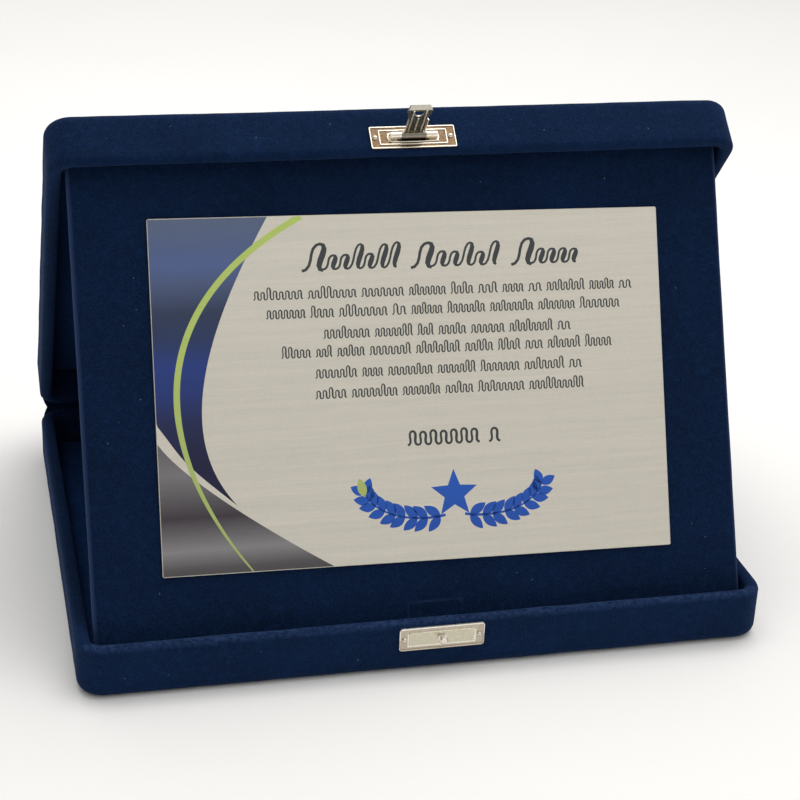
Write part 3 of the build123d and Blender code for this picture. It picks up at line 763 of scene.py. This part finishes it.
def swash(start, end, baseline, dice, height, pitch, thick, thin, slant=0.0, tall=0.0):
    """A pen stroke that loops up and down like handwriting but spells nothing."""
    humps = max(1, round((end - start) / pitch))
    path, heights = [], []
    for hump in range(humps):
        rise = height * (1 + tall * (dice.random() < 0.22))
        heights.append(rise * dice.uniform(0.92, 1.05))
    per = 14
    for i in range(humps * per + 1):
        hump = min(i // per, humps - 1)
        phase = 2 * math.pi * i / per
        lift = heights[hump] * (1 - math.cos(phase)) / 2
        swing = 0.12 * pitch * math.sin(2 * phase)
        x = start + (end - start) * i / (humps * per) + swing + slant * lift
        path.append(Vector((x, baseline - lift)))

    def breadth(share):
        falling = max(0.0, -math.sin(2 * math.pi * humps * share))
        return thin + (thick - thin) * falling
    return ribbon(path, breadth)


def words(start, end, dice):
    """Splits a line into stretches of differing length."""
    spans, at = [], start
    while at < end - WORD_SHORTEST:
        length = dice.uniform(WORD_SHORTEST, WORD_LONGEST)
        stop = end if end - (at + length + WORD_GAP) < WORD_SHORTEST else at + length
        spans.append((at, stop))
        at = stop + WORD_GAP
    return spans


def leaf(foot, heading, length, width):
    """A pointed leaf from its foot, turned by a heading in radians."""
    along = Vector((math.cos(heading), math.sin(heading)))
    side = Vector((-along.y, along.x))
    points, rows = [], 8
    for i in range(rows + 1):
        t = i / rows
        half = width / 2 * math.sin(math.pi * t)**0.8 * (1.15 - 0.3 * t) + 0.02
        centre = Vector(foot) + along * length * t
        points += [tuple(centre + side * half), tuple(centre - side * half)]
    return points, [(2 * i, 2 * i + 1, 2 * i + 3, 2 * i + 2) for i in range(rows)]


def star(centre, outer, inner):
    points = [tuple(centre)]
    for i in range(10):
        reach, turn = (outer, inner)[i % 2], math.radians(-90 + 36 * i)
        points.append((centre[0] + reach * math.cos(turn), centre[1] + reach * math.sin(turn)))
    return points, [(0, i + 1, (i + 1) % 10 + 1) for i in range(10)]


def laurel(middle, reach, low, high, leaves):
    """Two low branches that part from the middle, as lists of stem and leaf patches."""
    stems, foliage, steps = [], [], 40
    for side in (-1, 1):
        ends = [
            (middle + side * 3.5, low), (middle + side * reach * 0.45, low + 2.4),
            (middle + side * reach * 0.86, low - 1.5), (middle + side * reach * 0.93, high + 3.2),
        ]
        path = bezier(ends, steps)
        stems.append(ribbon(path, lambda share: 0.95 - 0.5 * share))
        for i in range(leaves):
            at = 2 + round(i * (steps - 3) / (leaves - 1))
            ahead = path[min(at + 1, steps)] - path[at - 1]
            heading = math.atan2(ahead.y, ahead.x)
            for lean in (-LEAF_LEAN, LEAF_LEAN):
                foliage.append(leaf(path[at], heading + lean, 6.8 - 0.14 * i, LEAF_WIDTH))
    return stems, foliage


FIELD_EDGE = ((40.7, 0.1), (14.1, 44.5), (7.5, 75.8), (26.3, 97.3))     # the blue field's right side
FIELD_BREAK = ((0.1, 68.8), (9.2, 81.4), (6.0, 80.0), (26.3, 97.3))     # and where it ends at the foot
GREY_EDGE = ((0.3, 75.3), (7.7, 87.2), (37.5, 107.3), (58.4, 119.7))
SWEEP = ((52.3, 0.3), (-10.5, 32.6), (2.7, 84.6), (30.6, 119.6))
SWEEP_WIDTH, SWEEP_THINS, SWEEP_FROM = 2.15, 1.6, 0.55                  # it thins from this share of its way

CAPITAL_PEN = {"height": 9.2, "pitch": 7.4, "thick": 2.1, "thin": 1.0, "slant": 0.32}
TITLE_PEN = {"height": 4.8, "pitch": 4.2, "thick": 1.75, "thin": 0.75, "slant": 0.32, "tall": 0.75}
ROW_PEN = {"height": 2.75, "pitch": 2.0, "thick": 0.58, "thin": 0.42, "tall": 0.42}
HEADING_PEN = {"height": 4.7, "pitch": 3.9, "thick": 0.95, "thin": 0.8}
TITLE_WORDS = ((51.8, 84.8), (89.9, 120.4), (125.8, 149.4))             # each (left, right)
CAPITAL_WIDTH, CAPITAL_BASE, TITLE_BASE = 7.4, 19.0, 18.6
ROWS = (                                                                # each (left, right, middle's height)
    (34.8, 169.5, 27.0), (38.9, 164.8, 33.5), (58.3, 146.4, 40.8), (43.5, 161.2, 47.0), (54.9, 149.9, 54.2),
    (54.6, 150.3, 61.2),
)
WORD_SHORTEST, WORD_LONGEST, WORD_GAP, ROW_DROP = 4.0, 17.0, 1.7, 1.3   # the drop is from middle to baseline
HEADING_WORDS, HEADING_BASE = ((86.0, 111.6), (115.0, 119.0)), 79.9
EMBLEM_X = 101.7
STAR_Y, STAR_OUTER, STAR_INNER = 97.4, 8.6, 3.7
ACCENT_FOOT, ACCENT_HEADING = (70.0, 96.8), math.radians(-104)


def fields():
    field_edge, field_foot = bezier(FIELD_EDGE), bezier(FIELD_BREAK)

    def left(y):
        return BARE_EDGE if y < field_foot[0].y else max(BARE_EDGE, across_at(field_foot, y))

    blue = between(left, lambda y: across_at(field_edge, y), BARE_EDGE, FIELD_EDGE[-1][1] - 0.1)
    film("print_blue_field", [blue], blue_ink, FIELD_TOP)

    grey_edge = bezier(GREY_EDGE)
    bottom = PRINT_HEIGHT - BARE_EDGE
    grey = between(lambda y: BARE_EDGE, lambda y: across_at(grey_edge, y), GREY_EDGE[0][1] + 0.1, bottom)
    film("print_grey_field", [grey], grey_ink, FIELD_TOP)

    def breadth(share):
        return SWEEP_WIDTH - SWEEP_THINS * max(0.0, (share - SWEEP_FROM) / (1 - SWEEP_FROM))

    film("print_green_arc", [ribbon(bezier(SWEEP, 90), breadth)], green_ink, ARC_TOP)


def lettering():
    dice = random.Random(11)
    title = []
    for start, end in TITLE_WORDS:
        capital_end = start + CAPITAL_WIDTH
        title.append(swash(start, capital_end, CAPITAL_BASE, dice, **CAPITAL_PEN))
        title.append(swash(capital_end, end, TITLE_BASE, dice, **TITLE_PEN))
    film("print_title", title, text_ink, FIELD_TOP)

    rows = []
    for start, end, middle_y in ROWS:
        for left, right in words(start, end, dice):
            rows.append(swash(left, right, middle_y + ROW_DROP, dice, **ROW_PEN))
    film("print_text_rows", rows, text_ink, FIELD_TOP)

    heading = [swash(left, right, HEADING_BASE, dice, **HEADING_PEN) for left, right in HEADING_WORDS]
    film("print_heading", heading, text_ink, FIELD_TOP)


def emblem():
    stems, foliage = laurel(EMBLEM_X, reach=34.0, low=104.5, high=92.0, leaves=9)
    centre_star = star((EMBLEM_X, STAR_Y), STAR_OUTER, STAR_INNER)
    film("print_emblem", [*stems, *foliage, centre_star], emblem_ink, FIELD_TOP)
    accent = leaf(ACCENT_FOOT, ACCENT_HEADING, length=6.6, width=LEAF_WIDTH)
    film("print_emblem_accent", [accent], green_ink, ARC_TOP)


fields()
lettering()
emblem()


# ---------------------------------------------------------------- lint on the pile
FIBRE_ACROSS, FIBRE_UP = 0.05 * MM, 0.07 * MM           # half a fibre's thickness
FIBRE_SHORTEST, FIBRE_LONGEST = 0.35, 0.8               # in millimetres


def lint(name, body, place, half_x, half_y, height, count, seed, keep_out):
    """Tiny bent fibres that lie on the velvet, outside a rectangle of half sizes keep_out."""
    dice = random.Random(seed)
    points, faces = [], []
    while len(points) < count * 9:
        x, y = dice.uniform(-half_x, half_x), dice.uniform(-half_y, half_y)
        if abs(x) < keep_out[0] and abs(y) < keep_out[1]:
            continue
        turn, length = dice.uniform(0, math.pi), dice.uniform(FIBRE_SHORTEST, FIBRE_LONGEST) * MM
        first = len(points)
        for i in range(3):
            bend = turn + 0.5 * i
            cx, cy = x + length * (i - 1) * math.cos(bend) / 2, y + length * (i - 1) * math.sin(bend) / 2
            for corner in range(3):
                spin = 2 * math.pi * corner / 3
                points.append((cx + FIBRE_ACROSS * math.cos(spin), cy + FIBRE_ACROSS * math.sin(spin),
                               height + FIBRE_UP * math.sin(spin)))
        for i in range(2):
            a, b = first + 3 * i, first + 3 * i + 3
            faces += [(a + k, a + (k + 1) % 3, b + (k + 1) % 3, b + k) for k in range(3)]
        faces += [(first, first + 2, first + 1), (first + 6, first + 7, first + 8)]
    mesh = bpy.data.meshes.new(name)
    mesh.from_pydata(points, [], faces)
    mesh.transform(place)
    piece = new_object(name, mesh, lint_fibre)
    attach(piece, body)


lint_fibre = speckled("lint_fibre", (0.3, 0.34, 0.4), (0.55, 0.58, 0.6), 3000, 0.9, 0.02 * MM)
front_wall = Matrix.Translation((0, FRONT, RIM / 2)) @ Matrix.Rotation(math.pi / 2, 4, "X")
plate_room = (PLATE_WIDTH / 2 + 2 * MM, PLATE_HEIGHT / 2 + 2 * MM)
fitting_room = (20 * MM, 1)
WALL_X, WALL_Y, LINT_UP = 110 * MM, 4 * MM, 0.03 * MM
lint("panel_lint", "panel", PANEL_PLACE, 107 * MM, 78 * MM, PANEL_THICK / 2 + LINT_UP, 16, 7, plate_room)
lint("base_lint", "base", front_wall, WALL_X, WALL_Y, LINT_UP, 6, 8, fitting_room)
lid_wall = SWING @ Matrix.Translation((0, 0, RIM)) @ front_wall
lint("lid_lint", "lid", lid_wall, WALL_X, WALL_Y, LINT_UP, 7, 9, fitting_room)

# ---------------------------------------------------------------- CAD pieces that keep their shape
rail_wood = {axis: timber(f"rail_wood_{axis}", (0.56, 0.38, 0.2), (0.33, 0.19, 0.09), axis) for axis in "XY"}
hardboard = speckled("hardboard", (0.17, 0.085, 0.035), (0.26, 0.14, 0.065), 1500, 0.6, 0.05 * MM)
foam = speckled("foam", (0.62, 0.58, 0.48), (0.78, 0.75, 0.66), 2600, 0.95, 0.2 * MM)
card = speckled("backing_card", (0.010, 0.011, 0.013), (0.02, 0.021, 0.024), 1800, 0.75, 0.03 * MM)
tape = speckled("plate_tape", (0.7, 0.7, 0.66), (0.82, 0.82, 0.79), 2200, 0.7, 0.05 * MM)


for name, node in frame["nodes"].items():
    if name.endswith("_rail"):
        finish = rail_wood["X" if "front" in name or "back" in name else "Y"]
    elif name.endswith("_board"):
        finish = hardboard
    elif name.endswith("_foam"):
        finish = foam
    elif name == "panel_backing":
        finish = card
    elif name == "plate_tape":
        finish = tape
    elif name == "award_plate":
        finish = plate_metal
    elif name == "catch_plate":
        finish = catch_nickel
    elif name == "clasp_plate":
        finish = clasp_nickel
    elif name in ("catch_stud", "catch_nails", "clasp_nails"):
        finish = nail_nickel
    elif name == "clasp_hasp":
        finish = hasp_nickel
    else:
        finish = pin_steel
    node.data.materials.clear()
    node.data.materials.append(finish)


# ---------------------------------------------------------------- floor, light and camera
def ground():
    reach = 15
    corners = [(-reach, -reach, 0), (reach, -reach, 0), (reach, reach, 0), (-reach, reach, 0)]
    m = Nodes("floor_paper")
    m.colour(m.ramp(m.noise(3, 2.0), (0.3, 0.95), (0.7, 0.98)))
    m.set(Roughness=0.9)
    floor = new_object("floor", mesh_from(corners, [(0, 1, 2, 3)]), m.material, smooth=False)
    floor.location.z = -0.1 * MM


def sky():
    """A pale studio, darker low down than overhead and towards the left."""
    world = bpy.data.worlds.new("studio")
    bpy.context.scene.world = world
    world.use_nodes = True
    tree = world.node_tree
    place = tree.nodes.new("ShaderNodeTexCoord")
    part = tree.nodes.new("ShaderNodeSeparateXYZ")
    tree.links.new(place.outputs["Generated"], part.inputs[0])
    heights = tree.nodes.new("ShaderNodeValToRGB")
    shades = (
        (0.0, (0.8, 0.79, 0.77)), (0.07, (0.8, 0.79, 0.77)), (0.09, (0.27, 0.26, 0.25)),
        (0.2, (0.34, 0.33, 0.31)), (0.5, (0.80, 0.79, 0.77)), (0.9, (1.0, 0.99, 0.97)),
    )
    elements = heights.color_ramp.elements
    while len(elements) < len(shades):
        elements.new(0.5)
    for element, (position, colour) in zip(elements, shades):
        element.position, element.color = position, (*colour, 1)
    tree.links.new(part.outputs["Z"], heights.inputs["Fac"])
    side = tree.nodes.new("ShaderNodeMapRange")
    from_to = (-0.9, 0.1, 0.4, 1.0)             # from this X to that, the light goes from this share to that
    for socket, value in zip(side.inputs[1:5], from_to):
        socket.default_value = value
    tree.links.new(part.outputs["X"], side.inputs["Value"])
    shade = tree.nodes.new("ShaderNodeVectorMath")
    shade.operation = "SCALE"
    tree.links.new(heights.outputs["Color"], shade.inputs[0])
    tree.links.new(side.outputs["Result"], shade.inputs["Scale"])
    tree.links.new(shade.outputs["Vector"], tree.nodes["Background"].inputs["Color"])
    tree.nodes["Background"].inputs["Strength"].default_value = 0.97


def softbox():
    light = bpy.data.lights.new("overhead", "AREA")
    light.shape, light.size, light.size_y = "RECTANGLE", 1.2, 0.9
    light.energy, light.color = 6.2, (1, 0.98, 0.95)
    lamp = bpy.data.objects.new("overhead", light)
    bpy.context.scene.collection.objects.link(lamp)
    lamp.location = (0.1, 0.25, 1.0)
    lamp.rotation_euler = (-lamp.location).to_track_quat("-Z", "Y").to_euler()


def camera():
    """Placed where the object is seen from slightly left of its front and above."""
    turn, down, roll = math.radians(14.293), math.radians(25.128), math.radians(2.65)
    at = Vector((-154.64 * MM, FRONT - 543.16 * MM, 366.53 * MM))
    lens = bpy.data.cameras.new("camera")
    lens.sensor_width, lens.lens = 36.0, 87.07
    lens.clip_start = 0.01
    eye = bpy.data.objects.new("camera", lens)
    bpy.context.scene.collection.objects.link(eye)
    pan, tilt = Matrix.Rotation(-turn, 4, "Z"), Matrix.Rotation(math.pi / 2 - down, 4, "X")
    eye.matrix_world = Matrix.Translation(at) @ pan @ tilt @ Matrix.Rotation(roll, 4, "Z")
    bpy.context.scene.camera = eye


ground()
sky()
softbox()
camera()
bpy.context.scene.view_settings.view_transform = "Standard"
